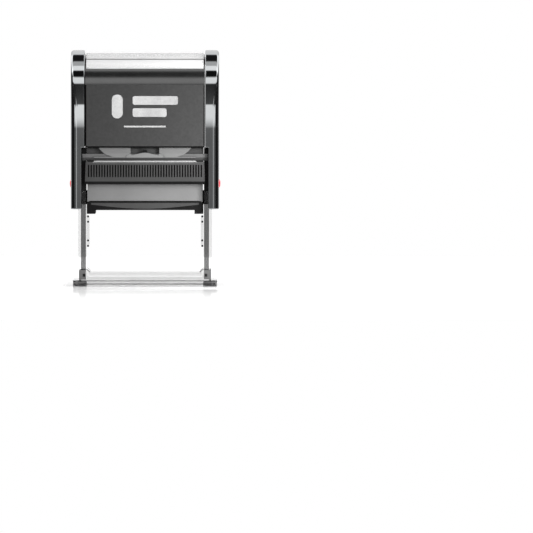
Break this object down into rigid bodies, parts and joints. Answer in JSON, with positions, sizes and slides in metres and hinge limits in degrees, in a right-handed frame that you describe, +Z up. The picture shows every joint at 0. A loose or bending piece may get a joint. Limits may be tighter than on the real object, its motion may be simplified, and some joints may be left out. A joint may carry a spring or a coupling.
{
  "type": "self inking stamp",
  "caption": "Spring-loaded self inking stamp: a housing slides down two clear legs and turns an inked text plate over onto the page.",
  "frame": {"origin": "centre of the foot's underside, on the surface that the stamp stands on", "axes": "+Z up along the press, +X to the right seen from the front, -Y towards the front, where the ink pad's grip is"},
  "size_m": [0.0798, 0.057, 0.1248],
  "materials": {
    "gloss_gunmetal": "mirror-gloss dark gunmetal",
    "black_plastic": "gloss black, moulded",
    "matte_panel": "fine-grained matte dark grey",
    "satin_grey": "satin mid grey",
    "dark_grey": "semi-gloss dark grey",
    "light_grey": "semi-gloss light grey",
    "smoky_clear": "clear, smoky grey",
    "clear_plastic": "clear, polished",
    "spring_steel": "drawn wire",
    "ink_felt": "felt soaked with ink",
    "die_rubber": "engraved rubber",
    "cushion_foam": "fine foam",
    "white_card": "white card",
    "red_plastic": "gloss red"
  },
  "bodies": {
    "base": {"foot_frame": "clear_plastic", "foot_clip_left": "dark_grey", "foot_clip_right": "dark_grey", "leg_left": "smoky_clear", "leg_right": "smoky_clear", "flip_cam_left_front": "clear_plastic", "flip_cam_left_rear": "clear_plastic", "flip_cam_right_front": "clear_plastic", "flip_cam_right_rear": "clear_plastic", "base_bridge": "dark_grey", "front_rail": "dark_grey", "rail_wing_left": "light_grey", "rail_wing_right": "light_grey", "pad_latch": "dark_grey", "spring_post_left": "dark_grey", "spring_post_right": "dark_grey", "return_spring_left": "spring_steel", "return_spring_right": "spring_steel"},
    "housing": {"carrier_yoke": "black_plastic", "housing_cap": "black_plastic", "side_arch_left": "gloss_gunmetal", "side_arch_right": "gloss_gunmetal", "label_panel_front": "matte_panel", "label_panel_rear": "matte_panel", "index_card": "white_card"},
    "plate": {"plate_carrier": "black_plastic", "text_plate": "satin_grey", "plate_cushion": "cushion_foam", "rubber_die": "die_rubber", "axle_pin_left": "spring_steel", "axle_pin_right": "spring_steel"},
    "pad_drawer": {"pad_cartridge": "black_plastic", "ink_pad": "ink_felt", "pad_grip": "dark_grey"},
    "index_cover": {"index_window": "clear_plastic"},
    "lock_left": {"lock_button_left": "red_plastic"},
    "lock_right": {"lock_button_right": "red_plastic"}
  },
  "joints": [
    {"name": "press", "type": "slide", "parent": "base", "child": "housing", "axis": [0, 0, -1], "range_m": [0, 0.037], "stiffness_N_per_m": 300, "springref_m": -0.02, "deforming": ["return_spring_left", "return_spring_right", "ink_pad"]},
    {"name": "plate_flip", "type": "hinge", "parent": "housing", "child": "plate", "pos_m": [0, 0, 0.04575], "axis": [1, 0, 0], "range_deg": [0, 180]},
    {"name": "pad_slide", "type": "slide", "parent": "base", "child": "pad_drawer", "axis": [0, 1, 0], "range_m": [-0.044, 0]},
    {"name": "cover_lift", "type": "slide", "parent": "housing", "child": "index_cover", "axis": [0, 0, 1], "range_m": [0, 0.02]},
    {"name": "lock_left_push", "type": "slide", "parent": "housing", "child": "lock_left", "axis": [1, 0, 0], "range_m": [0, 0.0012], "stiffness_N_per_m": 300, "springref_m": -0.001},
    {"name": "lock_right_push", "type": "slide", "parent": "housing", "child": "lock_right", "axis": [-1, 0, 0], "range_m": [0, 0.0012], "stiffness_N_per_m": 300, "springref_m": -0.001}
  ],
  "couplings": [
    {"joint": "plate_flip", "follows": "press", "rad_per_m": 84.908}
  ]
}
